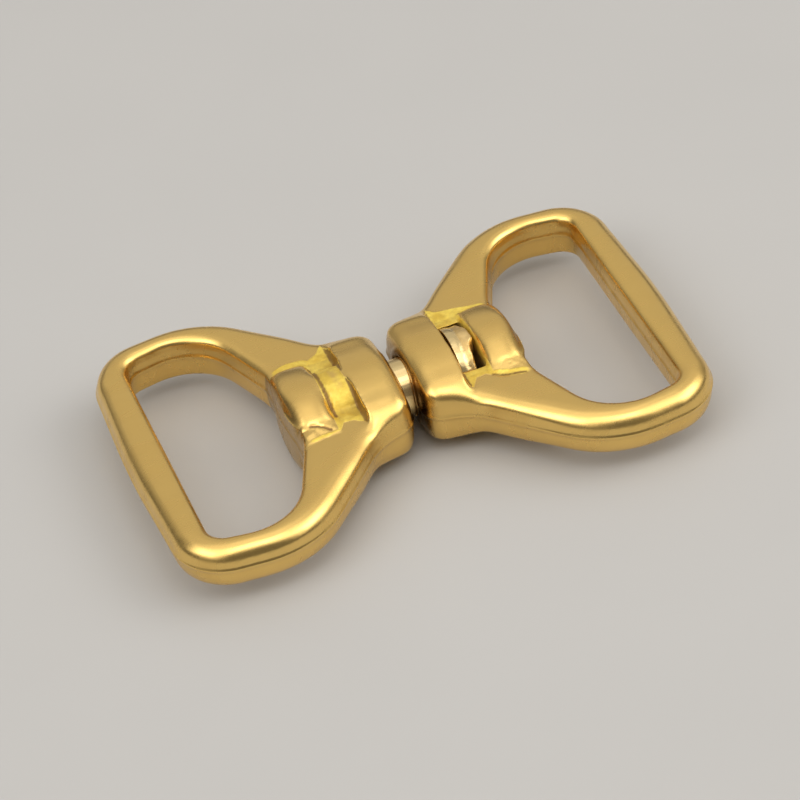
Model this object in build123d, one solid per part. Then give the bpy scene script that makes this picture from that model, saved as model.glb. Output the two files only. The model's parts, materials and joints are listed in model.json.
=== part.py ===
from build123d import *
import math
import os

# Double-ended swivel for narrow webbing: two cast brass eyes held end to end by one
# headed pin. Millimetres. X is the swivel axis, Y runs across the loops and Z is up; the
# origin lies on the axis, midway between the two collars. The turning eye points along
# +X and the fixed eye along -X.

# --- Overall sizes ----------------------------------------------------------------------
overall_length = 38.0        # over both end bars
strap_width = 20.0           # clear width inside each loop
bar_width = 2.9              # end bar, in the plane of the loop
side_width = 2.2             # the loop's sides, in the plane of the loop
ring_thickness = 3.4         # loops and arms, top to bottom

# --- Hub of each eye, along X from the middle of the swivel ------------------------------
collar_gap = 0.6             # clear space between the two collars
collar_length = 3.25         # collar that the pin's neck passes through
window_length = 1.85         # pocket that holds the pin's head
bridge_length = 2.8          # cross bridge between the window and the loop

# --- Hub sections -------------------------------------------------------------------------
collar_front_width = 9.0     # across the collar's face
collar_height = 5.9          # over both domes
dome_width = 9.7             # across the dome where it reaches the arms' level
bridge_width = 6.6
bridge_height = 5.7
bridge_crown_radius = 7.5    # arch of the bridge, seen along X
bridge_bulge = 0.25          # how far the bridge bows into the loop
dome_blend_radius = 2.0      # where the collar's dome runs out into the arms

# --- Plan shape of the loop ---------------------------------------------------------------
collar_flare_angle = 13.0    # degrees, lean of the collar's sides
shoulder_x = 3.15            # where the collar's side would meet the flank
shoulder_radius = 4.6
outer_crown_radius = 7.1
outer_crown_setback = 3.3    # centre of the outer crown, back from the bar's inner face
outer_crown_fall = 6.2       # degrees, slope of the side towards the bar
outer_corner_radius = 3.9
bar_bow_angle = 2.6          # degrees, each half of the bar leans back from the middle
bar_bow_radius = 60.0
inner_crown_radius = 3.85
inner_crown_setback = 2.85
inner_crown_fall = 10.8
inner_corner_radius = 1.2
loop_root_width = 7.7        # flat width of the loop where it meets the hub
loop_root_radius = 1.5

# --- Casting details ----------------------------------------------------------------------
draft_angle = 3.0            # degrees, both ways from the parting line
parting_height = 0.25        # parting line above the middle of the thickness
outer_edge_radius = 1.2      # rounding round the outside of the casting
inner_edge_radius = 0.72     # rounding round the inside of the loop
collar_corner_radius = 1.5   # the collar's corners in plan
bridge_edge_radius = 0.85
bridge_corner_radius = 1.0

# --- Pin -----------------------------------------------------------------------------------
neck_diameter = 4.0
neck_clearance = 0.08        # radial, neck in the turning collar
head_diameter = 5.7
head_tilt = 8.5              # degrees, the hammered face leans
head_lean_direction = 40.0   # degrees about the axis, towards the head's thick side
head_edge_radius = 0.22
head_radial_clearance = 0.16
head_end_clearance = 0.10    # between the head and the collar's inner face
head_far_clearance = 0.15    # between the head's thick side and the bridge
head_least_thickness = 0.35  # at the thin side, however short the window
ridge_diameter = 5.6         # cast ridge that closes the fixed eye's window
shank_depth = 1.5            # cast-in shoulder of the pin, past the fixed collar
shoulder_step = 0.35         # the shoulder stands out from the neck all round
shoulder_length = 1.1

# --- Worked-out places ---------------------------------------------------------------------
half_length = overall_length / 2
bar_inner_x = half_length - bar_width
collar_face_x = collar_gap / 2
window_x = collar_face_x + collar_length
bridge_x = window_x + window_length
loop_root_x = bridge_x + bridge_length
loop_depth = bar_inner_x - loop_root_x
arm_level = ring_thickness / 2
collar_half = collar_front_width / 2
outer_half = strap_width / 2 + side_width
wall_run = arm_level + parting_height
side_top_width = side_width - 2 * wall_run * math.tan(math.radians(draft_angle))
rounding_share = min(1.0, 0.97 * side_top_width / (outer_edge_radius + inner_edge_radius))
outer_rounding = outer_edge_radius * rounding_share
inner_rounding = inner_edge_radius * rounding_share
inner_crown = min(inner_crown_radius, 0.49 * loop_depth)
head_room = window_length - head_end_clearance - head_far_clearance
hammered_tilt = min(head_tilt, math.degrees(
    math.atan((head_room - head_least_thickness) / head_diameter)))
hammered_rise = head_diameter * math.tan(math.radians(hammered_tilt))
head_thickness = head_room - hammered_rise


def tangent_angle(point, centre, radius):
    """Angle of the line from a point that touches the circle on its upper left side."""
    dx, dy = centre[0] - point[0], centre[1] - point[1]
    return math.atan2(dy, dx) + math.asin(radius / math.hypot(dx, dy))


def crown_vertex(centre, radius, rise, fall):
    """Corner whose rounding is the crown's circle, between a rising and a falling side."""
    lean = (rise - fall) / 2
    reach = radius / math.cos((rise + fall) / 2)
    return centre[0] - reach * math.sin(lean), centre[1] + reach * math.cos(lean)


def meet(start, angle, other, other_angle):
    """Point where two lines cross, each given by a point and its angle."""
    ux, uy = math.cos(angle), math.sin(angle)
    vx, vy = math.cos(other_angle), math.sin(other_angle)
    along = ((other[0] - start[0]) * vy - (other[1] - start[1]) * vx) / (ux * vy - uy * vx)
    return start[0] + along * ux, start[1] + along * uy


def rounded_outline(half_points, half_radii, tip=None, tip_radius=0.0):
    """Closed outline from its upper half, with a rounded tip on the X axis if it has one."""
    points = list(half_points)
    radii = list(half_radii)
    if tip is not None:
        points.append(tip)
        radii.append(tip_radius)
    points += [(x, -y) for x, y in reversed(half_points)]
    radii += list(reversed(half_radii))
    return make_face(FilletPolyline(*points, radius=radii, close=True))


def casting_outline():
    """Outside of one eye in plan: collar, flared shoulders, crowns and bowed end bar."""
    centre = (bar_inner_x - outer_crown_setback, outer_half - outer_crown_radius)
    flare = math.radians(collar_flare_angle)
    collar_run = shoulder_x - collar_face_x
    shoulder = (shoulder_x, collar_half + collar_run * math.tan(flare))
    rise = tangent_angle(shoulder, centre, outer_crown_radius)
    corner_run = collar_corner_radius * math.tan((math.pi / 2 - flare) / 2)
    shoulder_run = 0.99 * (collar_run / math.cos(flare) - corner_run)
    shoulder_bend = min(shoulder_radius, shoulder_run / math.tan((rise - flare) / 2))
    fall = math.radians(outer_crown_fall)
    crown = crown_vertex(centre, outer_crown_radius, rise, fall)
    bow = math.radians(bar_bow_angle)
    tip = (half_length + bar_bow_radius * (1 / math.cos(bow) - 1), 0.0)
    corner = meet(crown, -fall, tip, math.pi / 2 + bow)
    points = [(collar_face_x, collar_half), shoulder, crown, corner]
    radii = [collar_corner_radius, shoulder_bend, outer_crown_radius, outer_corner_radius]
    return rounded_outline(points, radii, tip, bar_bow_radius)


def loop_outline():
    """Opening of one loop in plan: hub side, slanting flanks, crowns and straight bar."""
    centre = (bar_inner_x - inner_crown_setback, strap_width / 2 - inner_crown)
    root = (loop_root_x, loop_root_width / 2)
    rise = tangent_angle(root, centre, inner_crown)
    fall = math.radians(inner_crown_fall)
    crown = crown_vertex(centre, inner_crown, rise, fall)
    corner = meet(crown, -fall, (bar_inner_x, 0.0), math.pi / 2)
    return rounded_outline([root, crown, corner],
                           [loop_root_radius, inner_crown, inner_corner_radius])


def drafted(outline, half_height, taper):
    """Prism either side of the parting line, its walls leaning by the draft angle."""
    below = extrude(outline, amount=-(half_height + parting_height), taper=taper)
    above = mirror(extrude(outline, amount=-(half_height - parting_height), taper=taper),
                   about=Plane.XY)
    return Pos(0, 0, parting_height) * (above + below)


def domes(height, radius):
    """Section across the hub: two shallow arches back to back."""
    drop = height / 2 - radius
    return Pos(0, drop) * Circle(radius) & Pos(0, -drop) * Circle(radius)


def along_axis(section, start_x, length):
    """Bar with the given section across the hub, running along X."""
    return Pos(start_x, 0, 0) * extrude(Plane.YZ * section, amount=length)


def round_bar(diameter, start_x, length):
    """Cylinder on the swivel axis."""
    return along_axis(Circle(diameter / 2), start_x, length)


def collar_section():
    """The collar's domes, run out by a soft curve into the level of the arms."""
    half_span, rise = dome_width / 2, collar_height / 2 - arm_level
    radius = (half_span ** 2 + rise ** 2) / (2 * rise)
    section = domes(collar_height, radius) + Rectangle(2 * outer_half, ring_thickness)
    inside_corners = section.vertices().filter_by(lambda v: abs(abs(v.X) - half_span) < 0.01)
    return fillet(inside_corners, radius=dome_blend_radius)


def rim_edges(part, outline):
    """Edges on the top and underside that follow an outline in plan."""
    reach = 0.6 * collar_height * math.tan(math.radians(draft_angle))
    curves = outline.edges()

    def follows(edge):
        spots = [edge @ share for share in (0, 0.5, 1)]
        return all(abs(spot.Z) > 0.9 * arm_level
                   and min(curve.distance_to(Vector(spot.X, spot.Y, 0)) for curve in curves) < reach
                   for spot in spots)

    return part.edges().filter_by(follows)


def rounded_rim(part, outline, radius):
    """Rounds the top and underside edges along an outline, one side at a time."""
    for side in (1, -1):
        edges = rim_edges(part, outline).filter_by(lambda e: side * (e @ 0.5).Z > 0)
        part = fillet(edges, radius=radius)
    return part


def slice_along(part, start_x, end_x):
    """The stretch of a part between two places along X."""
    length = end_x - start_x
    return part & Pos((start_x + end_x) / 2, 0, 0) * Box(length, 4 * outer_half, 2 * collar_height)


def loop_casting():
    """Flat part of an eye: arms, sides and end bar round the loop's opening."""
    outline, opening = casting_outline(), loop_outline()
    plate = drafted(outline, arm_level, draft_angle)
    plate = rounded_rim(plate, outline, outer_rounding)
    plate -= drafted(opening, arm_level, -draft_angle)
    return slice_along(rounded_rim(plate, opening, inner_rounding), window_x, half_length)


def collar():
    """Domed collar whose sides run out into the arms, ending in a step at the window."""
    outline = casting_outline()
    block = drafted(outline, collar_height / 2, draft_angle)
    block &= along_axis(collar_section(), 0, bridge_x)
    return slice_along(rounded_rim(block, outline, outer_rounding), 0, window_x)


def bridge():
    """Arched cross bridge between the window and the loop, bowed towards the loop."""
    half_width = bridge_width / 2
    side_end = loop_root_x - bridge_bulge / 2
    crest = loop_root_x + bridge_bulge / 2
    sides = Polyline((side_end, half_width), (bridge_x, half_width),
                     (bridge_x, -half_width), (side_end, -half_width))
    bow = ThreePointArc((side_end, -half_width), (crest, 0), (side_end, half_width))
    plan = make_face([sides, bow])
    corners = plan.vertices().filter_by(lambda v: v.X > bridge_x + 0.01)
    plan = fillet(corners, radius=bridge_corner_radius)
    block = extrude(plan, amount=bridge_height / 2, both=True)
    block &= along_axis(domes(bridge_height, bridge_crown_radius), bridge_x, half_length)
    for side in (1, -1):
        edges = block.edges().filter_by(
            lambda e: side * (e @ 0.5).Z > arm_level and (e @ 0.5).X > bridge_x + 0.01)
        block = fillet(edges, radius=bridge_edge_radius)
    return block


def eye_casting():
    """One cast eye with its collar, arms, loop and bridge, before the pin's seat is cut."""
    return collar() + loop_casting() + bridge()


def turning_eye():
    """Eye that turns on the pin: a bore through its collar and a window for the head."""
    neck_bore = round_bar(neck_diameter + 2 * neck_clearance, 0, window_x)
    window = round_bar(head_diameter + 2 * head_radial_clearance, window_x, window_length)
    return eye_casting() - neck_bore - window


def pin():
    """Turned pin: cast-in shoulder, neck and a head hammered over at an angle."""
    neck_start = -(window_x + shank_depth)
    head_start = window_x + head_end_clearance
    neck = round_bar(neck_diameter, neck_start, head_start - neck_start)
    shoulder = round_bar(neck_diameter + 2 * shoulder_step, neck_start, shoulder_length)
    head = round_bar(head_diameter, head_start, head_room)
    face_x = head_start + head_thickness + hammered_rise / 2
    beyond = Pos(face_x, 0, 0) * Rot(0, 0, -hammered_tilt) * Pos(head_diameter, 0, 0) * Box(
        2 * head_diameter, 3 * head_diameter, 3 * head_diameter)
    head -= Rot(head_lean_direction, 0, 0) * beyond
    head = fillet(head.edges().filter_by(GeomType.ELLIPSE), radius=head_edge_radius)
    return neck + shoulder + head


def fixed_eye(seated_pin):
    """Eye cast round the pin's shoulder, its window closed by a cast ridge."""
    ridge = round_bar(ridge_diameter, window_x, window_length)
    return mirror(eye_casting() + ridge, about=Plane.YZ) - seated_pin


swivel_pin = pin()
pieces = {"fixed_eye": fixed_eye(swivel_pin), "turning_eye": turning_eye(),
          "swivel_pin": swivel_pin}
os.makedirs("parts", exist_ok=True)
for name, shape in pieces.items():
    export_step(shape, f"parts/{name}.step")
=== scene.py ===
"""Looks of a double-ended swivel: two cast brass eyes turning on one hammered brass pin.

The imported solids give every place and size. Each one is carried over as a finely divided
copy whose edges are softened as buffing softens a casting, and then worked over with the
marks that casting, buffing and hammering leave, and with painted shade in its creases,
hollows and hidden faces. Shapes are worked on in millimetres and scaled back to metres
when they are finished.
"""

import json
import logging
import math
from dataclasses import dataclass, field
from enum import Enum

import bpy
import numpy as np
from mathutils import Matrix, Vector
from mathutils.kdtree import KDTree

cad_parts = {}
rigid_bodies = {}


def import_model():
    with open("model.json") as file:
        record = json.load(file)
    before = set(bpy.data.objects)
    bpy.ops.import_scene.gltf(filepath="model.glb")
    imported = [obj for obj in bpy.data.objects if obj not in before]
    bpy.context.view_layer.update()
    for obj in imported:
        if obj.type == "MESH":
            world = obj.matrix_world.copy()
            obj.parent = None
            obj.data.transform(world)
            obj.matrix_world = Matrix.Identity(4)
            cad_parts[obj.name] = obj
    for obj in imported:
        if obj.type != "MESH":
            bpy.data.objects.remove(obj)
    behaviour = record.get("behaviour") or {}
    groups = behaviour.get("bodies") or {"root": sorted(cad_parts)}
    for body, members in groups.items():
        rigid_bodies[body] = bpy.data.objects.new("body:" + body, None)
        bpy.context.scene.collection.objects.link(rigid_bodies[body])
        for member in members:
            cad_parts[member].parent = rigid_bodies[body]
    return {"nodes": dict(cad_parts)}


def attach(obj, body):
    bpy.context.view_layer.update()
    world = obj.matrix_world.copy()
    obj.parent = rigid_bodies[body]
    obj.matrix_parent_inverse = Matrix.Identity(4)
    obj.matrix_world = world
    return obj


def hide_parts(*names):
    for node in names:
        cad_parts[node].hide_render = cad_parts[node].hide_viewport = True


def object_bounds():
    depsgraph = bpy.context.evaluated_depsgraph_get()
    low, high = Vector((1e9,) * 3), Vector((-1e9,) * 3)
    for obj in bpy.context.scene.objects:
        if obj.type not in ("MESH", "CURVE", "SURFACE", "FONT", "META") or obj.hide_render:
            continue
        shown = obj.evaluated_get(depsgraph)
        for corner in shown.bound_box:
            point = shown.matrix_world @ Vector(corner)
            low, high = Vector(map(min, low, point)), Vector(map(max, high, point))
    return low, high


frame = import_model()
CAD_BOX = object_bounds()

MM = 0.001
WELD = 0.0005            # millimetres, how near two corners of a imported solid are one
FINE_STEPS = 400         # levels of a weight that stands for a height
BOTH_WAYS = 0.5          # the level of a pattern that rises as far as it sinks
log = logging.getLogger("swivel")

Piece = bpy.types.Object
Socket = bpy.types.NodeSocket
Tree = bpy.types.NodeTree
Colour = tuple[float, float, float]
Place = tuple[float, float, float]
Weights = np.ndarray                     # one number from 0 to 1 for each vertex
Span = tuple[float, float]               # where a weight starts and where it is full
Waves = tuple[float, float]              # the size of a pattern's clouds, and its depth
Stroke = tuple[Place, Place]
Trail = tuple[tuple[float, float], ...]


class End(Enum):
    """The two ends of the swivel, by the side of the middle on which their eye lies."""

    FIXED = -1.0
    TURNING = 1.0


class Cloud(Enum):
    """Patterns that a surface can be worked over with."""

    SOFT = "SOFT_NOISE"
    HARD = "HARD_NOISE"


# --- Working on a mesh ----------------------------------------------------------------------

def deselect_all() -> None:
    """Leaves nothing selected."""
    for thing in bpy.context.scene.objects:
        thing.select_set(False)


def pick(piece: Piece) -> None:
    """Selects one piece alone and makes it the active one.

    Args:
        piece: The piece to select.
    """
    deselect_all()
    piece.select_set(True)
    bpy.context.view_layer.objects.active = piece


def rescale(piece: Piece, factor: float) -> None:
    """Scales a piece's mesh about the origin and leaves the object itself unscaled.

    Args:
        piece: The piece to scale.
        factor: How much larger it becomes.
    """
    pick(piece)
    piece.scale = (factor, factor, factor)
    bpy.ops.object.transform_apply(location=False, rotation=False, scale=True)


def working_copy(node: str, name: str) -> Piece:
    """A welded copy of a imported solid, in millimetres, ready to be worked on.

    Args:
        node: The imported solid's name.
        name: The new piece's name.

    Returns:
        The new piece, with no material and no parent.
    """
    piece = bpy.data.objects.new(name, frame["nodes"][node].data.copy())
    piece.data.name = name
    bpy.context.scene.collection.objects.link(piece)
    piece.data.materials.clear()
    rescale(piece, 1.0 / MM)
    bpy.ops.object.mode_set(mode="EDIT")
    bpy.ops.mesh.select_all(action="SELECT")
    bpy.ops.mesh.remove_doubles(threshold=WELD)
    bpy.ops.mesh.select_all(action="DESELECT")
    bpy.ops.object.mode_set(mode="OBJECT")
    return piece


def apply_modifier(piece: Piece, kind: str, **settings: object) -> None:
    """Adds one modifier to a piece and applies it.

    Args:
        piece: The piece to change.
        kind: The modifier's type.
        **settings: The modifier's settings by name.
    """
    pick(piece)
    modifier = piece.modifiers.new(kind.lower(), kind)
    for setting, value in settings.items():
        setattr(modifier, setting, value)
    bpy.ops.object.modifier_apply(modifier=modifier.name)


def remesh(piece: Piece, grain: float) -> None:
    """Divides a piece evenly into small faces of one size, in millimetres."""
    apply_modifier(piece, "REMESH", mode="VOXEL", voxel_size=grain, use_smooth_shade=True)


def finish_piece(piece: Piece, material: bpy.types.Material) -> None:
    """Brings a worked piece back to metres and gives it its material.

    Args:
        piece: The piece, still in millimetres.
        material: Its material.
    """
    rescale(piece, MM)
    pick(piece)
    bpy.ops.object.shade_smooth()
    piece.data.materials.append(material)
    piece.vertex_groups.clear()
    log.info("%s: %d faces", piece.name, len(piece.data.polygons))


def points_of(piece: Piece) -> np.ndarray:
    """Reads every vertex of a piece.

    Args:
        piece: The piece to read.

    Returns:
        The vertices' places, one row each.
    """
    flat = np.zeros(3 * len(piece.data.vertices))
    piece.data.vertices.foreach_get("co", flat)
    return flat.reshape(-1, 3)


def normals_of(piece: Piece) -> np.ndarray:
    """Reads the normal at every vertex of a piece.

    Args:
        piece: The piece to read.

    Returns:
        The normals, one row each.
    """
    flat = np.zeros(3 * len(piece.data.vertices), np.float32)
    piece.data.vertex_normals.foreach_get("vector", flat)
    return flat.reshape(-1, 3).astype(float)


def weigh(piece: Piece, name: str, weights: Weights, steps: int = 40) -> str:
    """Writes a weight for every vertex into a vertex group.

    Args:
        piece: The piece that gets the group.
        name: The group's name.
        weights: One weight from 0 to 1 for each vertex.
        steps: Into how many levels the weights are rounded.

    Returns:
        The group's name.
    """
    group = piece.vertex_groups.new(name=name)
    levels = np.rint(np.clip(weights, 0.0, 1.0) * steps).astype(int)
    for level in range(1, steps + 1):
        members = np.nonzero(levels == level)[0]
        if len(members):
            group.add(members.tolist(), level / steps, "REPLACE")
    return name


def soften(piece: Piece, passes: int, group: str = "", factor: float = 0.5) -> None:
    """Smooths a piece, all over or where a vertex group says.

    Args:
        piece: The piece to smooth.
        passes: How many times.
        group: The vertex group that limits it, or nothing.
        factor: How far each pass goes.
    """
    apply_modifier(piece, "SMOOTH", factor=factor, iterations=passes, vertex_group=group)


def push(piece: Piece, height: float, group: str, direction: str = "NORMAL") -> None:
    """Moves a surface where a vertex group says.

    Args:
        piece: The piece to change.
        height: How far at full weight, in millimetres, outwards if positive.
        group: The vertex group.
        direction: Along the normals, or along one axis.
    """
    apply_modifier(piece, "DISPLACE", strength=height, mid_level=0.0, vertex_group=group,
                   direction=direction)


def work_over(piece: Piece, pattern: str, cloud: Cloud, waves: Waves, group: str,
              level: float = 1.0) -> None:
    """Displaces a surface by a clouded pattern, as a rule only inwards.

    Args:
        piece: The piece to change.
        pattern: A name for the pattern.
        cloud: Its kind.
        waves: The size of its clouds and its whole depth, in millimetres.
        group: The vertex group that limits it.
        level: The share of the pattern that lies below the surface, 1 for all of it.
    """
    grain, depth = waves
    texture = bpy.data.textures.new(pattern, "CLOUDS")
    texture.noise_type = cloud.value
    texture.noise_scale = grain
    texture.noise_depth = 2
    apply_modifier(piece, "DISPLACE", texture=texture, texture_coords="LOCAL",
                   strength=depth, mid_level=level, vertex_group=group, direction="NORMAL")
    bpy.data.textures.remove(texture)


def note(piece: Piece, name: str, values: Weights) -> None:
    """Stores one number for every vertex, for a material to read.

    Args:
        piece: The piece that keeps the numbers.
        name: The attribute's name.
        values: One value from 0 to 1 for each vertex.
    """
    attribute = piece.data.attributes.new(name, "FLOAT", "POINT")
    attribute.data.foreach_set("value", np.clip(values, 0.0, 1.0).astype(np.float32))


def note_relief(piece: Piece, height: float, passes: int = 14) -> None:
    """Stores how proud and how sunken each place of a piece is.

    Args:
        piece: The piece that keeps the numbers.
        height: The height over its smoothed self that counts as fully proud.
        passes: How much its smoothed self is smoothed.
    """
    smoothed = bpy.data.objects.new("smoothed", piece.data.copy())
    bpy.context.scene.collection.objects.link(smoothed)
    soften(smoothed, passes)
    lift = np.einsum("ij,ij->i", points_of(piece) - points_of(smoothed), normals_of(piece))
    bpy.data.objects.remove(smoothed)
    note(piece, "crest", lift / height)
    note(piece, "hollow", -lift / height)


def ramp(values: np.ndarray, start: float, end: float) -> Weights:
    """A smooth step from 0 at one value to 1 at another.

    Args:
        values: The values to judge.
        start: Where the step is 0.
        end: Where the step is 1.

    Returns:
        The weights.
    """
    share = np.clip((values - start) / (end - start), 0.0, 1.0)
    return share * share * (3.0 - 2.0 * share)


def fade(values: np.ndarray, start: float, end: float) -> Weights:
    """A smooth step from 1 at one value to 0 at another."""
    return 1.0 - ramp(values, start, end)


def bump_at(distance: np.ndarray, width: float) -> Weights:
    """A soft hump of weight 1 where a distance is 0, gone at about twice its width."""
    return np.exp(-(distance / width) ** 2)


def from_stroke(points: np.ndarray, start: Place, end: Place) -> np.ndarray:
    """How far each point lies from a straight stroke.

    Args:
        points: The points, one row each.
        start: Where the stroke starts.
        end: Where it ends.

    Returns:
        One distance for each point.
    """
    run = np.subtract(end, start)
    share = np.clip((points - start) @ run / (run @ run), 0.0, 1.0)
    return np.linalg.norm(points - start - share[:, None] * run, axis=1)


def from_trail(points: np.ndarray, trail: Trail) -> np.ndarray:
    """How far each point lies from a bent line, seen from straight above.

    Args:
        points: The points, one row each.
        trail: The line's corners, along and across.

    Returns:
        One distance for each point.
    """
    flat = points * (1.0, 1.0, 0.0)
    return np.min([from_stroke(flat, (*start, 0.0), (*end, 0.0))
                   for start, end in zip(trail, trail[1:])], axis=0)


def from_chosen(points: np.ndarray, chosen: np.ndarray) -> np.ndarray:
    """How far each point lies from the nearest of some chosen ones, seen from above.

    Args:
        points: The points, one row each.
        chosen: For each point, whether it is one of those.

    Returns:
        One distance for each point.
    """
    flat = points * (1.0, 1.0, 0.0)
    tree = KDTree(int(chosen.sum()))
    for number, place in enumerate(flat[chosen]):
        tree.insert(place, number)
    tree.balance()
    return np.array([tree.find(place)[2] for place in flat])


# --- The two castings ----------------------------------------------------------------------

@dataclass(frozen=True)
class Zone:
    """A region with soft edges, given by the spans over which it begins and ends."""

    along_from: Span | None = None
    along_to: Span | None = None
    across_to: Span | None = None
    up_from: Span | None = None
    up_to: Span | None = None

    def cover(self, points: np.ndarray) -> Weights:
        """Says how far inside the region each point lies, on either side of the axis.

        Args:
            points: The points, one row each.

        Returns:
            One weight for each point.
        """
        along, across, up = points[:, 0], np.abs(points[:, 1]), points[:, 2]
        weights = np.ones(len(points))
        for values, start, end in ((along, self.along_from, self.along_to),
                                   (across, None, self.across_to),
                                   (up, self.up_from, self.up_to)):
            if start is not None:
                weights *= ramp(values, *start)
            if end is not None:
                weights *= fade(values, *end)
        return weights


@dataclass(frozen=True)
class SkinEdges:
    """How far across the raw metal round an eye's window reaches, at places along the eye.

    On the near side of the top, the bridge's end runs out in a slope as far as its foot.
    """

    near: tuple[float, ...]
    far: tuple[float, ...]
    near_foot: tuple[float, ...]
    along: tuple[float, ...] = (3.55, 3.80, 4.30, 5.00, 5.40, 6.50, 7.60)

    def reach(self, points: np.ndarray) -> np.ndarray:
        """The outer edge of the raw metal beside each point."""
        return self._beside(points, self.near, np.interp(points[:, 0], self.along, self.far))

    def foot(self, points: np.ndarray, bridge_half_width: float) -> np.ndarray:
        """The place across at which the bridge's end has run out, beside each point."""
        return self._beside(points, self.near_foot, bridge_half_width)

    def _beside(self, points: np.ndarray, near: tuple[float, ...],
                elsewhere: np.ndarray | float) -> np.ndarray:
        """One edge on the near side of the top, and another everywhere else."""
        near_top = (points[:, 1] < 0.0) & (points[:, 2] > 0.0)
        return np.where(near_top, np.interp(points[:, 0], self.along, near), elsewhere)


@dataclass
class CastEye:
    """One cast eye: collar, window, bridge and webbing loop in a single casting.

    Sizes are in millimetres. Along is counted from the middle of the swivel outwards,
    across from its axis and up from its middle plane. A height or a tilt given as a span
    is where a weight starts and where it is full, and a tilt is a share of a normal.
    """

    node: str
    body: str
    end: End
    material: bpy.types.Material
    skin_edges: SkinEdges
    # Trails of the creases along which thin lines of shadow are painted, seen from above.
    shaded_creases: tuple[Trail, ...]
    grain: float = 0.11
    polish_passes: int = 7

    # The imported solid
    window_start: float = 3.55
    bridge_half_width: float = 3.3
    arm_level: float = 1.7
    window_radius: float = 3.0
    neck_radius: float = 2.0
    parting_height: float = 0.25
    loop_middle: float = 12.4
    collar_across: tuple[float, ...] = (0.0, 1.0, 2.0, 3.0, 4.0, 4.4, 4.8)
    collar_top: tuple[float, ...] = (2.93, 2.87, 2.72, 2.45, 2.06, 1.87, 1.63)
    bore_rim: Span = (0.5, 0.8)
    bore_end_fade: float = 0.1

    # Collar and shoulders
    bulge_place: float = 3.7
    bulge_width: float = 0.75
    bulge_height: float = 0.13
    bulge: Zone = Zone(along_to=(3.50, 3.60), up_from=(1.2, 1.9))
    shoulder_trail: Trail = ((0.9, 4.0), (2.5, 4.3), (3.6, 4.9), (4.6, 5.6))
    shoulder_width: float = 1.25
    shoulder_passes: int = 80
    collar: Zone = Zone(along_to=(3.05, 3.40), up_from=(1.8, 2.2))
    collar_passes: int = 16

    # Bars of the loop
    outline_height: float = 0.3
    outline_start: float = 4.0
    outer_reach: float = 1.7
    outer_drop: float = 0.55
    inner_reach: float = 1.0
    inner_drop: float = 0.22
    bars: Zone = Zone(along_from=(5.0, 8.5))
    hub: Zone = Zone(along_to=(8.2, 9.2), across_to=(3.9, 4.8))

    # Bridge
    bridge_end_level: float = 2.18
    foot_margin: float = 0.2
    run_out_start: float = 2.9
    run_out_edge: float = 0.15
    run_out: Zone = Zone(along_from=(5.30, 5.55), along_to=(7.4, 8.3))
    side_level: float = 1.2
    crown_place: float = 6.75
    crown_half_width: float = 1.45
    crown_limit: float = 1.1
    crown_power: float = 2.2
    crown_drop: float = 0.34
    crown_least: float = 0.5
    crown_gain: float = 0.8
    crown_gain_across: Span = (-1.0, 2.0)
    crown: Zone = Zone(along_from=(5.15, 5.3), along_to=(8.6, 9.0), up_from=(1.75, 2.35))
    knob: Zone = Zone(along_from=(5.2, 5.4), up_from=(1.75, 2.0))
    knob_passes: int = 30
    inner_edge: tuple[Place, ...] = ((5.4, -3.4, 1.9), (5.4, 0.0, 2.85), (5.4, 3.4, 1.9))
    inner_edge_width: float = 0.4
    edge_passes: int = 30

    # Parting line and buffed faces
    flash_width: float = 0.13
    flash_height: float = 0.08
    side_tilt: Span = (0.25, 0.7)
    window_walls: Zone = Zone(along_from=(3.3, 3.5), along_to=(5.45, 5.7), across_to=(3.1, 3.4))
    front_tilt: Span = (0.6, 0.9)
    front_depth: float = 1.5
    slow_waves: Waves = (4.5, 0.04)
    short_waves: Waves = (1.9, 0.007)

    # Raw metal round the window
    sand: Waves = (0.3, 0.06)
    lumps: Waves = (0.8, 0.048)
    flaws: Waves = (0.6, 0.14)
    flawed_stroke: Stroke = ((6.1, -3.7, 1.9), (7.6, -3.5, 1.9))
    rubbed_stroke: Stroke = ((4.25, 0.60, 2.80), (4.30, -0.90, 2.72))
    rubbed_share: float = 0.45
    patch_width: float = 0.5
    skin_fade: Span = (-0.22, 0.22)
    foot_fade: Span = (-0.3, -0.05)
    border: Zone = Zone(along_from=(3.55, 3.65), along_to=(7.2, 8.0))
    border_height: Span = (0.25, 0.6)
    recess_start: Span = (3.57, 3.67)
    recess_end: Span = (5.4, 5.6)
    wall_tilt: Span = (0.45, 0.75)
    wall_margin: float = 0.2
    pocket_depth: Span = (-0.9, -0.5)

    # Lip, shaded creases and faces with painted shade
    lip_depth: Span = (0.08, 0.20)
    lip_width: float = 0.12
    lip_level: float = 1.5
    lip_passes: int = 12
    # Sizes of the shaded creases: the sunk groove, and how far the painted shadow lines reach.
    crease_width: float = 0.12
    crease_depth: float = 0.05
    crease_reach: float = 0.5
    wall_crease_width: float = 0.25
    wall_crease_distance: float = 0.04
    front: Zone = Zone(along_to=(0.35, 0.8))
    shaded_front_tilt: Span = (0.3, 0.9)
    pocket: Zone = Zone(along_from=(3.55, 3.65), along_to=(5.5, 5.7), up_to=(1.1, 1.9))
    pocket_half_width: float = 3.2
    back: Zone = Zone(along_from=(7.6, 7.9), along_to=(8.8, 9.2))
    back_tilt: Span = (0.5, 0.9)
    back_half_width: float = 3.9
    back_share: float = 0.6
    relief_height: float = 0.05

    # What is being worked on, filled in by build and _measure
    piece: Piece = field(init=False)
    points: np.ndarray = field(init=False)
    normals: np.ndarray = field(init=False)

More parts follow.
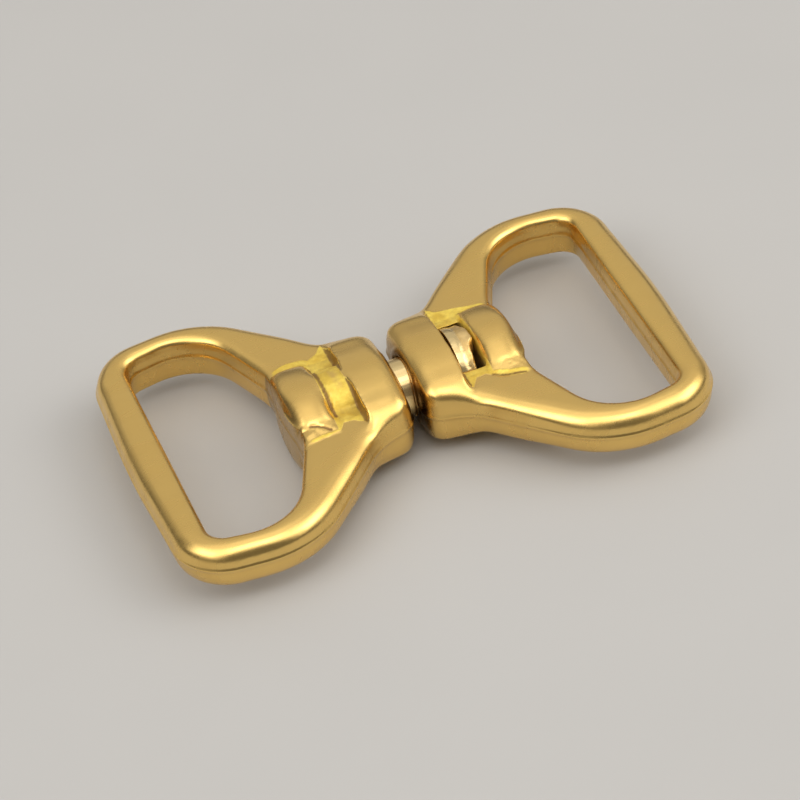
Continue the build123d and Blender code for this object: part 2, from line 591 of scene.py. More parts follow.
    def build(self) -> Piece:
        """Makes the casting and dresses it.

        Returns:
            The finished piece.
        """
        piece = self.piece = working_copy(self.node, self.node + "_casting")
        remesh(piece, self.grain)
        soften(piece, self.polish_passes)
        for step in (self._blend_shoulders, self._dome_bars, self._run_out_bridge,
                     self._crown_bridge, self._raise_parting_line, self._wave_surface,
                     self._roughen_skin, self._mark_zones):
            self._measure()
            step()
        finish_piece(piece, self.material)
        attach(piece, self.body)
        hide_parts(self.node)
        return piece

    # What is read off the piece

    def _measure(self) -> None:
        """Reads the piece's points and normals, with x counted outwards from the middle."""
        self.points = points_of(self.piece)
        self.normals = normals_of(self.piece)
        self.points[:, 0] *= self.end.value
        self.normals[:, 0] *= self.end.value

    def _in(self, zone: Zone) -> Weights:
        """How far inside a zone each point lies."""
        return zone.cover(self.points)

    def _outside_bore(self) -> Weights:
        """Weight of the places that don't belong to the pin's bore and seat.

        Returns:
            One weight for each point.
        """
        past_neck = np.hypot(self.points[:, 1], self.points[:, 2]) - self.neck_radius
        before_window = fade(self.points[:, 0], self.window_start - self.bore_end_fade,
                             self.window_start)
        return 1.0 - fade(past_neck, *self.bore_rim) * before_window

    def _lip(self) -> Weights:
        """Weight of the collar's polished lip along the window.

        Returns:
            One weight for each point.
        """
        top = np.interp(np.abs(self.points[:, 1]), self.collar_across, self.collar_top)
        before_window = self.points[:, 0] < self.window_start + self.wall_margin
        return fade(top - self.points[:, 2], *self.lip_depth) * before_window

    def _skin(self) -> Weights:
        """Weight of the places round the window that the buffing wheel can't reach.

        Returns:
            One weight for each point.
        """
        along, across = self.points[:, 0], np.abs(self.points[:, 1])
        over_arm = np.abs(self.points[:, 2]) - self.arm_level
        within = fade(across - self.skin_edges.reach(self.points), *self.skin_fade)
        past_foot = across - self.skin_edges.foot(self.points, self.bridge_half_width)
        border = within * ramp(past_foot, *self.foot_fade) * self._in(self.border)
        border *= fade(over_arm, *self.border_height)
        wall = ramp(self.normals[:, 0], *self.wall_tilt) * (
            along > self.window_start - self.wall_margin)
        inside = np.maximum(ramp(along, *self.recess_start), wall)
        recess = inside * fade(along, *self.recess_end) * within
        flat_sides = np.where(across > self.window_radius,
                              ramp(over_arm, *self.pocket_depth), 1.0)
        return np.maximum(border, recess) * flat_sides

    def _from_shaded_creases(self) -> np.ndarray:
        """How far each place lies from the creases along which thin lines of shadow are painted.

        Returns:
            One distance for each point.
        """
        nearest = np.min([from_trail(self.points, trail) for trail in self.shaded_creases], axis=0)
        # The window's end wall is painted dark all over, as shade.
        wall = (self.normals[:, 0] > self.wall_tilt[0]) & (
            np.abs(self.points[:, 0] - self.window_start) < self.wall_crease_width)
        hidden = (self.points[:, 2] < self.side_level) | (self._lip() > 0.5)
        return np.where(hidden, self.crease_reach,
                        np.where(wall, self.wall_crease_distance, nearest))

    # Shapes

    def _blend_shoulders(self) -> None:
        """Fills out the collar's ends and rounds them off into the arms' rims."""
        across = np.abs(self.points[:, 1])
        full = bump_at(across - self.bulge_place, self.bulge_width)
        bulge = weigh(self.piece, "bulge", full * self._in(self.bulge))
        push(self.piece, self.bulge_height, bulge, "Z")
        self._measure()
        away = from_trail(np.abs(self.points), self.shoulder_trail)
        shoulders = bump_at(away, self.shoulder_width) * self._outside_bore()
        soften(self.piece, self.shoulder_passes, weigh(self.piece, "shoulders", shoulders))
        self._measure()
        collar = self._in(self.collar) * self._outside_bore()
        soften(self.piece, self.collar_passes, weigh(self.piece, "collar", collar))

    def _dome_bars(self) -> None:
        """Domes the loop's bars, which fall away furthest towards their outer rims."""
        outwards = self.points * (1.0, 1.0, 0.0) - (self.loop_middle, 0.0, 0.0)
        facing = np.einsum("ij,ij->i", outwards, self.normals)
        outline = (np.abs(self.points[:, 2]) < self.outline_height) & (
            self.points[:, 0] > self.outline_start)
        fall = np.zeros(len(self.points))
        for side, reach, drop in ((facing > 0.0, self.outer_reach, self.outer_drop),
                                  (facing < 0.0, self.inner_reach, self.inner_drop)):
            inset = 1.0 - np.clip(from_chosen(self.points, outline & side) / reach, 0.0, 1.0)
            fall += drop * (1.0 - np.sqrt(1.0 - inset ** 2))
        share = fall / self.arm_level * self._in(self.bars) * (1.0 - self._in(self.hub))
        for name, way in (("upper_fall", 1.0), ("lower_fall", -1.0)):
            height = np.clip(way * self.points[:, 2], 0.0, None)
            push(self.piece, -way, weigh(self.piece, name, share * height, FINE_STEPS), "Z")

    def _run_out_bridge(self) -> None:
        """Lets the bridge's near end slope down to the arm."""
        nearwards, up = -self.points[:, 1], self.points[:, 2]
        foot = self.skin_edges.foot(self.points, self.bridge_half_width) + self.foot_margin
        slope = np.clip((foot - nearwards) / (foot - self.run_out_start), 0.0, 1.0)
        level = self.arm_level + (self.bridge_end_level - self.arm_level) * slope
        within = (nearwards > self.run_out_start) * fade(
            nearwards, foot - self.run_out_edge, foot) * (up > self.side_level)
        short = np.clip(level - up, 0.0, 1.0) * within * self._in(self.run_out)
        push(self.piece, 1.0, weigh(self.piece, "run_out", short, FINE_STEPS), "Z")

    def _crown_bridge(self) -> None:
        """Bows the bridge's top, most of all towards its near end, and softens its edges."""
        off_middle = np.abs(self.points[:, 0] - self.crown_place) / self.crown_half_width
        edge = np.clip(off_middle, 0.0, self.crown_limit) ** self.crown_power
        nearer = self.crown_least + self.crown_gain * ramp(
            -self.points[:, 1], *self.crown_gain_across)
        drop = self.crown_drop * edge * nearer * self._in(self.crown)
        push(self.piece, -1.0, weigh(self.piece, "crown", drop, FINE_STEPS), "Z")
        self._measure()
        soften(self.piece, self.knob_passes, weigh(self.piece, "knob", self._in(self.knob)))
        self._measure()
        away = np.min([from_stroke(self.points, start, end)
                       for start, end in zip(self.inner_edge, self.inner_edge[1:])], axis=0)
        soften(self.piece, self.edge_passes,
               weigh(self.piece, "inner_edge", bump_at(away, self.inner_edge_width)))

    def _raise_parting_line(self) -> None:
        """Cuts the sides back and leaves the fine ridge where the halves of the mould met."""
        upright = fade(np.abs(self.normals[:, 2]), *self.side_tilt)
        ridge = bump_at(self.points[:, 2] - self.parting_height, self.flash_width)
        sides = upright * self._outside_bore() * (1.0 - self._in(self.window_walls))
        push(self.piece, -self.flash_height, weigh(self.piece, "sides", sides * (1.0 - ridge)))

    def _wave_surface(self) -> None:
        """Gives the buffed faces the shallow waves that a buffing wheel leaves."""
        front = ramp(-self.normals[:, 0], *self.front_tilt) * (
            self.points[:, 0] < self.front_depth)
        free = weigh(self.piece, "free_faces", self._outside_bore() * (1.0 - front))
        work_over(self.piece, "slow_waves", Cloud.SOFT, self.slow_waves, free)
        work_over(self.piece, "short_waves", Cloud.SOFT, self.short_waves, free)

    def _roughen_skin(self) -> None:
        """Leaves the sandy casting skin in the recess and the flaws round it, and sinks the
        creases that carry painted shadow lines.
        """
        skin = weigh(self.piece, "skin", self._skin())
        work_over(self.piece, "sand", Cloud.SOFT, self.sand, skin, BOTH_WAYS)
        work_over(self.piece, "lumps", Cloud.SOFT, self.lumps, skin, BOTH_WAYS)
        flawed = bump_at(from_stroke(self.points, *self.flawed_stroke), self.patch_width)
        spot = weigh(self.piece, "flawed", flawed)
        work_over(self.piece, "flaws", Cloud.HARD, self.flaws, spot, BOTH_WAYS)
        lip = bump_at(self.points[:, 0] - self.window_start, self.lip_width) * (
            self.points[:, 2] > self.lip_level)
        soften(self.piece, self.lip_passes, weigh(self.piece, "lip", lip))
        shaded_creases = bump_at(self._from_shaded_creases(), self.crease_width)
        push(self.piece, -self.crease_depth, weigh(self.piece, "shaded_creases", shaded_creases))

    # What the finish reads

    def _mark_zones(self) -> None:
        """Stores where the raw skin is, where shadow lines and shade are painted, and the
        relief.
        """
        skin = self._skin()
        if self.end is End.FIXED:
            rubbed = bump_at(from_stroke(self.points, *self.rubbed_stroke), self.patch_width)
            skin *= 1.0 - self.rubbed_share * rubbed
        note(self.piece, "raw_skin", skin * (1.0 - self._lip()))
        # Painted shadow lines: how far each place lies from the shaded creases.
        note(self.piece, "off_shaded_crease", self._from_shaded_creases() / self.crease_reach)
        # Painted shade: the collars' end faces between the collars and the walls deep in the
        # window are darkened where little light reaches them, and the bridge's back wall gets a
        # painted dark reflection.
        across, facing = np.abs(self.points[:, 1]), self.normals[:, 0]
        front = self._in(self.front) * ramp(-facing, *self.shaded_front_tilt)
        pocket = self._in(self.pocket) * (across < self.pocket_half_width)
        back = self._in(self.back) * ramp(facing, *self.back_tilt) * (
            across < self.back_half_width)
        note(self.piece, "painted_shade", np.maximum.reduce([front, pocket, self.back_share * back]))
        note_relief(self.piece, self.relief_height)


# --- The pin ---------------------------------------------------------------------------------

@dataclass
class HammeredPin:
    """The pin on which the turning eye turns: neck, cast-in shoulder and hammered head.

    Sizes are in millimetres, along from the middle of the swivel towards the turning eye.
    """

    node: str
    body: str
    material: bpy.types.Material
    grain: float = 0.06
    polish_passes: int = 4
    head_start: float = 3.65
    head_least: float = 4.398
    head_rise: float = 0.852
    lean_direction: float = 50.0
    blow_across: tuple[float, ...] = (-3.0, -2.3, -1.10, -0.85, -0.60, 0.5, 1.0, 1.6, 2.1)
    blow_depth: tuple[float, ...] = (4.80, 4.84, 4.92, 5.06, 5.30, 5.30, 5.12, 4.96, 5.00)
    struck_up: Span = (0.2, 1.4)
    dented_along: Span = (0.35, 0.8)
    dents: Waves = (0.9, 0.1)
    raw_along: Span = (0.5, 0.9)
    relief_height: float = 0.04
    piece: Piece = field(init=False)

    def build(self) -> Piece:
        """Makes the pin and dresses it.

        Returns:
            The finished piece.
        """
        piece = self.piece = working_copy(self.node, "hammered_pin")
        remesh(piece, self.grain)
        self._strike_head()
        soften(piece, self.polish_passes)
        self._dent_head()
        self._mark_zones()
        finish_piece(piece, self.material)
        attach(piece, self.body)
        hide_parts(self.node)
        return piece

    def _strike_head(self) -> None:
        """Drives in the near part of the head and lets a lobe spread from its far part."""
        points = points_of(self.piece)
        lean = np.arctan2(points[:, 1], points[:, 2]) - math.radians(self.lean_direction)
        cast = self.head_least + 0.5 * self.head_rise * (1.0 + np.cos(lean))
        struck = np.interp(points[:, 1], self.blow_across, self.blow_depth)
        share = np.clip((points[:, 0] - self.head_start) / (cast - self.head_start), 0.0, 1.0)
        spread = share * ramp(points[:, 2], *self.struck_up) * (struck - cast)
        push(self.piece, 1.0, weigh(self.piece, "spread", spread, FINE_STEPS), "X")
        push(self.piece, -1.0, weigh(self.piece, "driven_in", -spread, FINE_STEPS), "X")

    def _dent_head(self) -> None:
        """Covers the hammered end of the head with small blows."""
        face = ramp(points_of(self.piece)[:, 0] - self.head_start, *self.dented_along)
        work_over(self.piece, "blows", Cloud.HARD, self.dents, weigh(self.piece, "struck", face))

    def _mark_zones(self) -> None:
        """Stores where the hammered metal is, and how proud each place is."""
        face = ramp(points_of(self.piece)[:, 0] - self.head_start, *self.raw_along)
        note(self.piece, "raw_skin", face)
        note_relief(self.piece, self.relief_height)


# --- Finishes --------------------------------------------------------------------------------

@dataclass
class Nodes:
    """A node tree that is being wired."""

    tree: Tree

    def add(self, kind: str, **settings: object) -> bpy.types.Node:
        """Adds a node and sets its own settings.

        Args:
            kind: The node's type name.
            **settings: Its settings by name.

        Returns:
            The node.
        """
        node = self.tree.nodes.new(kind)
        for setting, value in settings.items():
            setattr(node, setting, value)
        return node

    def join(self, start: Socket, end: Socket) -> None:
        """Wires an output to an input."""
        self.tree.links.new(start, end)

    def feed(self, socket: Socket, value: object) -> None:
        """Gives an input a wire if the value is an output, or else a plain value.

        Args:
            socket: The input.
            value: An output, a number or a colour.
        """
        if isinstance(value, Socket):
            self.join(value, socket)
        elif isinstance(value, tuple) and len(value) == 3 and socket.type == "RGBA":
            socket.default_value = (*value, 1.0)
        else:
            socket.default_value = value

    def math(self, operation: str, first: object, second: object,
             clamp: bool = False) -> Socket:
        """One sum of two numbers.

        Args:
            operation: What is done with them.
            first: An output or a number.
            second: An output or a number.
            clamp: Whether the result is kept from 0 to 1.

        Returns:
            The result's output.
        """
        node = self.add("ShaderNodeMath", operation=operation, use_clamp=clamp)
        self.feed(node.inputs[0], first)
        self.feed(node.inputs[1], second)
        return node.outputs[0]

    def plus(self, first: object, second: object) -> Socket:
        """The sum of two outputs or numbers."""
        return self.math("ADD", first, second)

    def less(self, first: object, second: object) -> Socket:
        """The first of two outputs or numbers less the second."""
        return self.math("SUBTRACT", first, second)

    def times(self, first: object, second: object) -> Socket:
        """The product of two outputs or numbers."""
        return self.math("MULTIPLY", first, second)

    def step(self, value: object, span: Span, result: Span = (0.0, 1.0)) -> Socket:
        """A smooth step of a value from one number to another.

        Args:
            value: The output to judge.
            span: Where the step starts and ends.
            result: What it gives before and after.

        Returns:
            The result's output.
        """
        node = self.add("ShaderNodeMapRange", interpolation_type="SMOOTHSTEP")
        for name, number in zip(("From Min", "From Max", "To Min", "To Max"), span + result):
            node.inputs[name].default_value = number
        self.feed(node.inputs["Value"], value)
        return node.outputs["Result"]

    def blend(self, share: object, first: object, second: object) -> Socket:
        """A colour between two colours.

        Args:
            share: How much of the second colour there is.
            first: An output or a colour.
            second: An output or a colour.

        Returns:
            The colour's output.
        """
        node = self.add("ShaderNodeMix", data_type="RGBA")
        factor, start, end = (node.inputs[number] for number in (0, 6, 7))
        self.feed(factor, share)
        self.feed(start, first)
        self.feed(end, second)
        return node.outputs[2]

    def noise(self, place: Socket, scale: object, detail: float = 3.0,
              roughness: float = 0.55) -> Socket:
        """A noise between 0 and 1.

        Args:
            place: The output that gives the place.
            scale: How many times finer than a metre it is.
            detail: How many finer layers it has.
            roughness: How strong those are.

        Returns:
            The noise's output.
        """
        node = self.add("ShaderNodeTexNoise", noise_dimensions="3D")
        self.join(place, node.inputs["Vector"])
        self.feed(node.inputs["Scale"], scale)
        node.inputs["Detail"].default_value = detail
        node.inputs["Roughness"].default_value = roughness
        return node.outputs["Fac"]

    def stretched(self, place: Socket, scale: Place, turn: float) -> Socket:
        """The place, turned about the upright axis and stretched along the axes.

        Args:
            place: The output that gives the place.
            scale: The stretch along each axis.
            turn: The turn, in degrees.

        Returns:
            The new place's output.
        """
        node = self.add("ShaderNodeMapping", vector_type="POINT")
        self.join(place, node.inputs["Vector"])
        node.inputs["Scale"].default_value = scale
        node.inputs["Rotation"].default_value = (0.0, 0.0, math.radians(turn))
        return node.outputs["Vector"]

    def bump(self, height: Socket, strength: float, depth: float) -> bpy.types.Node:
        """A fine relief.

        Args:
            height: The output that gives its height, from 0 to 1.
            strength: How strongly it shows.
            depth: How deep it is, in metres.

        Returns:
            The node.
        """
        node = self.add("ShaderNodeBump")
        node.inputs["Strength"].default_value = strength
        node.inputs["Distance"].default_value = depth
        self.join(height, node.inputs["Height"])
        return node

    def group(self, tree: Tree, place: Socket) -> bpy.types.Node:
        """A node group that reads the place.

        Args:
            tree: The group.
            place: The output that gives the place.

        Returns:
            The node.
        """
        node = self.add("ShaderNodeGroup", node_tree=tree)
        self.join(place, node.inputs["Place"])
        return node

    def attribute(self, name: str) -> Socket:
        """The number that a piece stores under a name."""
        node = self.add("ShaderNodeAttribute", attribute_type="GEOMETRY", attribute_name=name)
        return node.outputs["Fac"]


def new_group(name: str, inputs: dict[str, tuple[str, object]],
              outputs: dict[str, str]) -> tuple[Nodes, bpy.types.Node, bpy.types.Node]:
    """Starts a shader node group with named inputs and outputs.

    Args:
        name: The group's name.
        inputs: For each input, its socket type and its usual value.
        outputs: For each output, its socket type.

    Returns:
        The nodes, the group's input node and its output node.
    """
    tree = bpy.data.node_groups.new(name, "ShaderNodeTree")
    for label, (kind, value) in inputs.items():
        socket = tree.interface.new_socket(label, in_out="INPUT", socket_type=kind)
        if value is not None:
            socket.default_value = value
    for label, kind in outputs.items():
        tree.interface.new_socket(label, in_out="OUTPUT", socket_type=kind)
    nodes = Nodes(tree)
    return nodes, nodes.add("NodeGroupInput"), nodes.add("NodeGroupOutput")


def buffing_group() -> Tree:
    """Fine scratches and a slow smear, as a buffing wheel leaves them.

    Returns:
        The group, with the outputs Height and Smear.
    """
    nodes, source, result = new_group(
        "buffing_marks",
        {"Place": ("NodeSocketVector", None), "Fineness": ("NodeSocketFloat", 1.0)},
        {"Height": "NodeSocketFloat", "Smear": "NodeSocketFloat"})

    def streaks(stretch: Place, turn: float, scale: float, detail: float,
                roughness: float = 0.55) -> Socket:
        """Noise drawn out one way, at a scale that the group's fineness multiplies."""
        return nodes.noise(nodes.stretched(source.outputs["Place"], stretch, turn),
                           nodes.times(source.outputs["Fineness"], scale), detail, roughness)

    strokes = streaks(stretch=(1.0, 9.0, 4.0), turn=22.0, scale=1500.0, detail=2.0)
    cross_strokes = streaks(stretch=(7.0, 1.0, 4.0), turn=-34.0, scale=1100.0, detail=2.0)
    both = nodes.plus(strokes, nodes.times(cross_strokes, 0.6))
    nodes.join(nodes.times(both, 0.6), result.inputs["Height"])
    smear = streaks(stretch=(1.0, 2.2, 1.0), turn=15.0, scale=260.0, detail=4.0, roughness=0.6)
    nodes.join(nodes.step(smear, span=(0.3, 0.7)), result.inputs["Smear"])
    return nodes.tree


def pit_group() -> Tree:
    """Scattered small pits and knocks.

    Returns:
        The group, with the outputs Depth and Mask.
    """
    nodes, source, result = new_group(
        "pits",
        {"Place": ("NodeSocketVector", None), "Scale": ("NodeSocketFloat", 900.0),
         "Amount": ("NodeSocketFloat", 0.5)},
        {"Depth": "NodeSocketFloat", "Mask": "NodeSocketFloat"})
    place = source.outputs["Place"]
    cell = nodes.add("ShaderNodeTexVoronoi", feature="F1", voronoi_dimensions="3D")
    nodes.join(place, cell.inputs["Vector"])
    nodes.join(source.outputs["Scale"], cell.inputs["Scale"])
    spot = nodes.step(cell.outputs["Distance"], span=(0.05, 0.22), result=(1.0, 0.0))
    patchy = nodes.noise(place, scale=420.0, detail=2.0)
    here = nodes.step(nodes.plus(patchy, source.outputs["Amount"]), span=(0.95, 1.1))
    mask = nodes.times(spot, here)
    nodes.join(mask, result.inputs["Mask"])
    nodes.join(nodes.less(1.0, mask), result.inputs["Depth"])
    return nodes.tree


def skin_group() -> Tree:
    """Raw metal that no wheel has reached: uneven yellow, with a sandy surface.

    Returns:
        The group, with the outputs Colour, Height and Share.
    """
    nodes, source, result = new_group(
        "raw_metal",
        {"Place": ("NodeSocketVector", None), "Weight": ("NodeSocketFloat", 0.0),
         "Light": ("NodeSocketColor", (1.0, 0.8, 0.2, 1.0)),
         "Deep": ("NodeSocketColor", (0.6, 0.4, 0.05, 1.0)),
         "Scale": ("NodeSocketFloat", 1800.0)},
        {"Colour": "NodeSocketColor", "Height": "NodeSocketFloat",
         "Share": "NodeSocketFloat"})
    place, scale = source.outputs["Place"], source.outputs["Scale"]
    fine = nodes.noise(place, scale, detail=5.0, roughness=0.65)
    broad = nodes.noise(place, nodes.times(scale, 0.35), detail=3.0, roughness=0.5)
    uneven = nodes.plus(nodes.times(broad, 0.6), nodes.times(fine, 0.4))
    nodes.join(nodes.blend(nodes.step(uneven, (0.38, 0.62)), source.outputs["Deep"],
                           source.outputs["Light"]), result.inputs["Colour"])
    nodes.join(fine, result.inputs["Height"])
    frayed = nodes.plus(source.outputs["Weight"], nodes.times(nodes.less(uneven, 0.5), 1.3))
    nodes.join(nodes.step(frayed, span=(0.20, 0.75)), result.inputs["Share"])
    return nodes.tree


@dataclass(frozen=True)
class BrassFinish:
    """One brass finish: polished metal with raw metal left where polishing can't reach."""

    name: str
    polished: Colour
    polished_dark: Colour
    raw_light: Colour
    raw_deep: Colour
    # The dark brown of tarnish and of painted shade.
    tarnish_and_shade: Colour
    # The near-black of the painted shadow lines along the creases.
    scale: Colour
    roughness: float
    raw_roughness: float
    raw_matt: float
    scratch_bump: float
    raw_bump: float
    fineness: float
    crease_shade_strength: float
    smear_roughness: Span = (-0.04, 0.05)
    rubbed_crest: Span = (0.35, 0.9)
    # Shares of the dark brown: in hollows, partly tarnish and partly painted shade; on hidden
    # faces, painted shade.
    hollow_darkening: float = 0.35
    raw_hollow_darkening: float = 0.5
    painted_shade_share: float = 0.8
    pit_share: float = 0.55
    # The painted shadow lines along creases: their soft edge, their fraying and how matt they
    # are.
    crease_shade_edge: Span = (0.08, 0.26)
    crease_shade_fineness: float = 2200.0
    crease_shade_fray: float = 0.35
    crease_shade_matt: float = 0.5
    scratch_depth: float = 0.00002
    raw_depth: float = 0.00008

    def make(self, buffing: Tree, pits: Tree, skin: Tree) -> bpy.types.Material:
        """Builds the material.

        Args:
            buffing: The group of buffing marks.
            pits: The group of pits.
            skin: The group of raw metal.

        Returns:
            The material.
        """
        material = bpy.data.materials.new(self.name)
        material.use_nodes = True
        material.node_tree.nodes.clear()
        nodes = Nodes(material.node_tree)
        shader = nodes.add("ShaderNodeBsdfPrincipled")
        output = nodes.add("ShaderNodeOutputMaterial")
        nodes.join(shader.outputs["BSDF"], output.inputs["Surface"])
        place = nodes.add("ShaderNodeTexCoord").outputs["Object"]
        buffed, pitted, raw = (nodes.group(tree, place) for tree in (buffing, pits, skin))
        nodes.feed(buffed.inputs["Fineness"], self.fineness)
        nodes.join(nodes.attribute("raw_skin"), raw.inputs["Weight"])
        nodes.feed(raw.inputs["Light"], self.raw_light)
        nodes.feed(raw.inputs["Deep"], self.raw_deep)

        crest, hollow = nodes.attribute("crest"), nodes.attribute("hollow")
        share = nodes.times(raw.outputs["Share"],
                            nodes.less(1.0, nodes.step(crest, self.rubbed_crest)))
        metal = nodes.blend(buffed.outputs["Smear"], self.polished, self.polished_dark)
        # Darker in hollows, partly tarnish and partly painted shade.
        metal = nodes.blend(nodes.math("MULTIPLY", hollow, self.hollow_darkening, clamp=True),
                            metal, self.tarnish_and_shade)
        metal = nodes.blend(nodes.times(pitted.outputs["Mask"], self.pit_share), metal,
                            self.polished_dark)
        # The raw metal is darker in its hollows too, partly tarnish and partly painted shade.
        raw_metal = nodes.blend(
            nodes.math("MULTIPLY", hollow, self.raw_hollow_darkening, clamp=True),
            raw.outputs["Colour"], self.tarnish_and_shade)
        surface = nodes.blend(share, metal, raw_metal)
        # Painted shade on the hidden faces: the colour goes most of the way to the dark brown
        # there.
        surface = nodes.blend(nodes.times(nodes.attribute("painted_shade"), self.painted_shade_share),
                              surface, self.tarnish_and_shade)
        # Painted shadow: thin near-black lines along the shaded creases, frayed by a fine noise.
        ragged = nodes.less(nodes.noise(place, self.crease_shade_fineness), 0.5)
        off_shaded_crease = nodes.plus(nodes.attribute("off_shaded_crease"), nodes.times(ragged, self.crease_shade_fray))
        crease_shade = nodes.times(nodes.step(off_shaded_crease, self.crease_shade_edge, (1.0, 0.0)),
                           self.crease_shade_strength)
        nodes.join(nodes.blend(crease_shade, surface, self.scale), shader.inputs["Base Color"])

        smooth = nodes.step(buffed.outputs["Smear"], (0.0, 1.0),
                            tuple(self.roughness + more for more in self.smear_roughness))
        extra = nodes.times(share, self.raw_roughness - self.roughness)
        nodes.join(nodes.plus(smooth, extra), shader.inputs["Roughness"])
        matt = nodes.math("MAXIMUM", nodes.times(share, self.raw_matt),
                          nodes.times(crease_shade, self.crease_shade_matt))
        nodes.join(nodes.less(1.0, matt), shader.inputs["Metallic"])

        marks = nodes.plus(buffed.outputs["Height"], pitted.outputs["Depth"])
        scratched = nodes.bump(marks, self.scratch_bump, self.scratch_depth)
        sand = nodes.times(raw.outputs["Height"], share)
        sandy = nodes.bump(sand, self.raw_bump, self.raw_depth)
        nodes.join(scratched.outputs["Normal"], sandy.inputs["Normal"])
        nodes.join(sandy.outputs["Normal"], shader.inputs["Normal"])
        return material


# --- Floor, light and camera ----------------------------------------------------------------

@dataclass(frozen=True)
class Lamp:
    """One soft box, aimed at the middle of the object and dimmer towards its edges.

    Azimuth is 0 beyond the object and 90 to its right, elevation is 90 overhead, and the
    reach is half the angle that the box spans across and upwards, all in degrees. Each
    layer has a share of the box's size and a share of its brightness.
    """

    name: str
    azimuth: float
    elevation: float
    reach: tuple[float, float]
    brightness: float
    layers: tuple[tuple[float, float], ...]
    colour: Colour = (1.0, 0.98, 0.95)
    distance: float = 0.60
    layer_step: float = 0.01

    def hang(self) -> None:
        """Puts the lamp in the scene, one layer of it inside the other."""
        turn, lift = math.radians(self.azimuth), math.radians(self.elevation)
        aim = Vector((math.sin(turn) * math.cos(lift), math.cos(turn) * math.cos(lift),
                      math.sin(lift)))
        for number, (extent, share) in enumerate(self.layers):
            data = bpy.data.lights.new(f"{self.name}_{number}", "AREA")
            data.shape = "RECTANGLE"
            data.size, data.size_y = (2.0 * extent * self.distance * math.tan(
                math.radians(angle)) for angle in self.reach)
            data.energy = self.brightness * share * math.pi * data.size * data.size_y
            data.color = self.colour
            lamp = bpy.data.objects.new(data.name, data)
            lamp.location = aim * self.distance * (1.0 + self.layer_step * number)
            lamp.rotation_mode = "QUATERNION"
            lamp.rotation_quaternion = (-aim).to_track_quat("-Z", "Y")
            bpy.context.scene.collection.objects.link(lamp)


@dataclass(frozen=True)
class Eyepoint:
    """Where the object is looked at from. Lengths in metres, angles in degrees."""

    azimuth: float = -14.7409
    elevation: float = 40.0411
    roll: float = -9.1285
    distance: float = 0.233389
    aside: float = 0.0000178
    above: float = 0.0008002
    lens: float = 158.66
    sensor: float = 36.0

    def set_camera(self) -> None:
        """Makes the camera and hands it to the scene."""
        turn, lift, roll = (math.radians(angle) for angle in
                            (self.azimuth, self.elevation, self.roll))
        back = Vector((math.sin(turn) * math.cos(lift), -math.cos(turn) * math.cos(lift),
                       math.sin(lift)))
        level = Vector((math.cos(turn), math.sin(turn), 0.0))
        upright = back.cross(level)
        right = math.cos(roll) * level + math.sin(roll) * upright
        top = math.cos(roll) * upright - math.sin(roll) * level
        place = back * self.distance - right * self.aside - top * self.above
        data = bpy.data.cameras.new("camera")
        data.lens, data.sensor_width = self.lens, self.sensor
        data.clip_start, data.clip_end = 0.01, 10.0
        camera = bpy.data.objects.new("camera", data)
        camera.matrix_world = Matrix.Translation(place) @ Matrix(
            (right, top, back)).transposed().to_4x4()
        bpy.context.scene.collection.objects.link(camera)
        bpy.context.scene.camera = camera


PEAKED = ((1.0, 0.10), (0.80, 0.12), (0.60, 0.24), (0.38, 0.54))
EVEN = ((1.0, 0.34), (0.80, 0.33), (0.60, 0.33))


@dataclass
class Studio:
    """A pale floor under soft boxes in a plain grey room."""

    floor_level: float
    floor_size: float = 1.6
    floor_colour: Colour = (0.50, 0.49, 0.475)
    floor_shade: float = 0.96
    floor_clouds: float = 60.0
    floor_roughness: float = 0.85
    room_colour: Colour = (0.16, 0.156, 0.15)
    lamps: tuple[Lamp, ...] = (
        Lamp("right_box", 112.0, 41.0, (38.0, 27.0), 3.35, PEAKED),
        Lamp("left_box", -108.0, 45.0, (34.0, 27.0), 3.15, PEAKED),
        Lamp("near_box", 180.0, 67.0, (28.0, 22.0), 2.6, PEAKED),
        Lamp("overhead_box", 0.0, 84.0, (40.0, 36.0), 0.46, EVEN),
        Lamp("top_box", 0.0, 79.0, (26.0, 16.0), 0.55, EVEN, distance=0.55),
        Lamp("far_box", 10.0, 35.0, (54.0, 27.0), 0.42, EVEN, (1.0, 0.97, 0.92)),
    )

    def set_up(self) -> None:
        """Lays the floor, lights the room and sets the colour handling."""
        deselect_all()
        bpy.ops.mesh.primitive_plane_add(size=self.floor_size,
                                         location=(0.0, 0.0, self.floor_level))
        floor = bpy.context.active_object
        floor.name = "floor"
        bpy.ops.object.transform_apply(location=True, rotation=True, scale=True)
        floor.data.materials.append(self._paper())
        world = bpy.data.worlds.new("room")
        world.use_nodes = True
        background = world.node_tree.nodes["Background"]
        background.inputs["Color"].default_value = (*self.room_colour, 1.0)
        background.inputs["Strength"].default_value = 1.0
        bpy.context.scene.world = world
        for lamp in self.lamps:
            lamp.hang()
        bpy.context.scene.view_settings.view_transform = "Standard"

    def _paper(self) -> bpy.types.Material:
        """Matt paper with a faint unevenness.

        Returns:
            The floor's material.
        """
        material = bpy.data.materials.new("floor_paper")
        material.use_nodes = True
        nodes = Nodes(material.node_tree)
        shader = material.node_tree.nodes["Principled BSDF"]
        shader.inputs["Roughness"].default_value = self.floor_roughness
        place = nodes.add("ShaderNodeTexCoord").outputs["Object"]
        darker = tuple(self.floor_shade * channel for channel in self.floor_colour)
        clouds = nodes.noise(place, self.floor_clouds, detail=2.0)
        nodes.join(nodes.blend(clouds, self.floor_colour, darker), shader.inputs["Base Color"])
        return material


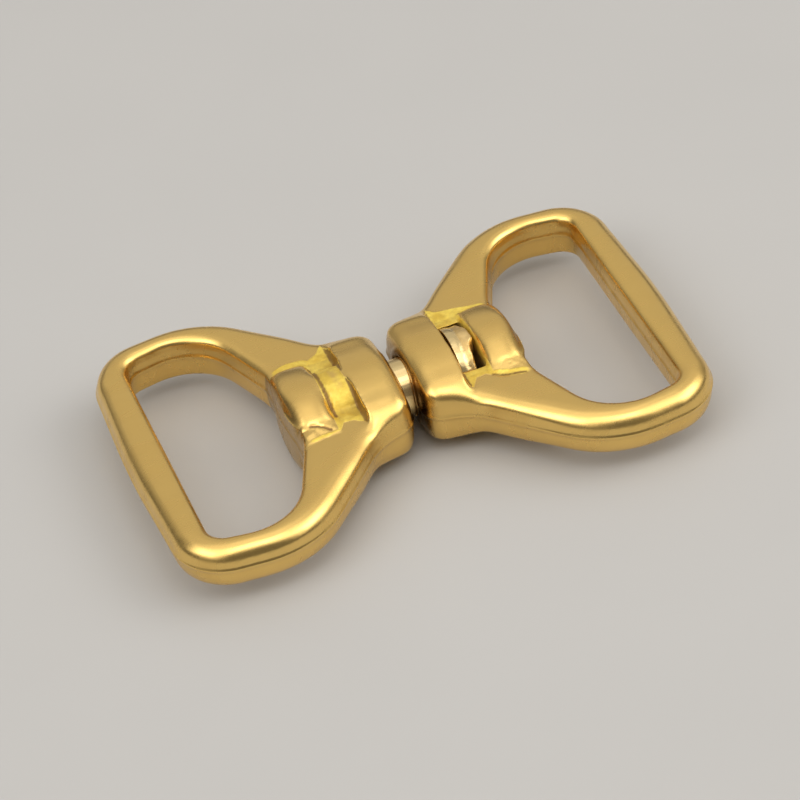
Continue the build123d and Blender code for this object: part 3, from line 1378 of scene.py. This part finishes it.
def main() -> None:
    """Builds the swivel, its finishes and the studio, and reports each piece."""
    logging.basicConfig(level=logging.INFO, format="%(name)s: %(message)s")
    groups = buffing_group(), pit_group(), skin_group()
    # The dark brown darkens hollows, partly as tarnish and partly as painted shade, and paints
    # shade on hidden faces; the near-black paints shadow lines along creases.
    cast_brass = BrassFinish(
        "cast_brass_finish", polished=(0.88, 0.595, 0.19), polished_dark=(0.84, 0.56, 0.175),
        raw_light=(0.96, 0.73, 0.13), raw_deep=(0.74, 0.50, 0.065), tarnish_and_shade=(0.24, 0.15, 0.07),
        scale=(0.19, 0.085, 0.025), roughness=0.25, raw_roughness=0.50, raw_matt=0.50,
        scratch_bump=0.06, raw_bump=0.5, fineness=1.0, crease_shade_strength=0.8).make(*groups)
    turned_brass = BrassFinish(
        "turned_brass_finish", polished=(0.90, 0.69, 0.34), polished_dark=(0.84, 0.61, 0.28),
        raw_light=(0.86, 0.61, 0.26), raw_deep=(0.70, 0.46, 0.16), tarnish_and_shade=(0.30, 0.17, 0.08),
        scale=(0.13, 0.07, 0.03), roughness=0.22, raw_roughness=0.34, raw_matt=0.1,
        scratch_bump=0.12, raw_bump=0.3, fineness=1.4, crease_shade_strength=0.0).make(*groups)
    CastEye(
        "fixed_eye", "fixed_end", End.FIXED, cast_brass,
        SkinEdges(near=(4.50, 3.95, 3.45, 3.35, 4.05, 4.20, 4.35),
                  far=(4.90, 4.75, 4.10, 3.75, 4.00, 4.10, 3.80),
                  near_foot=(4.10, 4.10, 4.10, 4.10, 4.10, 4.15, 4.30)),
        # Creases that carry painted shadow lines, as trails seen from above.
        shaded_creases=(((5.24, 1.56), (5.33, 2.62), (5.68, 3.18), (6.45, 3.25), (7.40, 3.05)),
               ((5.36, 2.30), (5.36, 0.30), (5.33, -1.70), (5.28, -2.60)),
               ((5.28, 1.60), (5.28, 0.30), (5.25, -1.70), (5.22, -2.60)),
               ((6.00, -3.80), (6.40, -3.45), (6.77, -3.25), (7.20, -3.10)),
               ((3.64, 4.30), (3.64, -4.10)))).build()
    CastEye(
        "turning_eye", "turning_end", End.TURNING, cast_brass,
        SkinEdges(near=(4.75, 4.30, 3.40, 3.35, 3.75, 4.30, 4.55),
                  far=(5.00, 4.85, 4.30, 4.15, 4.10, 3.80, 3.60),
                  near_foot=(3.40, 3.40, 3.40, 3.40, 3.50, 3.98, 4.20)),
        shaded_creases=(((5.65, 3.31), (5.77, 2.95), (6.39, 3.12), (7.21, 3.12), (7.77, 2.74)),
               # Creases that carry painted shadow lines, as trails seen from above.
               ((5.33, -3.62), (6.34, -4.14), (7.41, -4.38)),
               ((3.64, 4.90), (3.64, -4.10)))).build()
    HammeredPin("swivel_pin", "fixed_end", turned_brass).build()
    Studio(CAD_BOX[0].z).set_up()
    Eyepoint().set_camera()


if __name__ == "__main__":
    main()
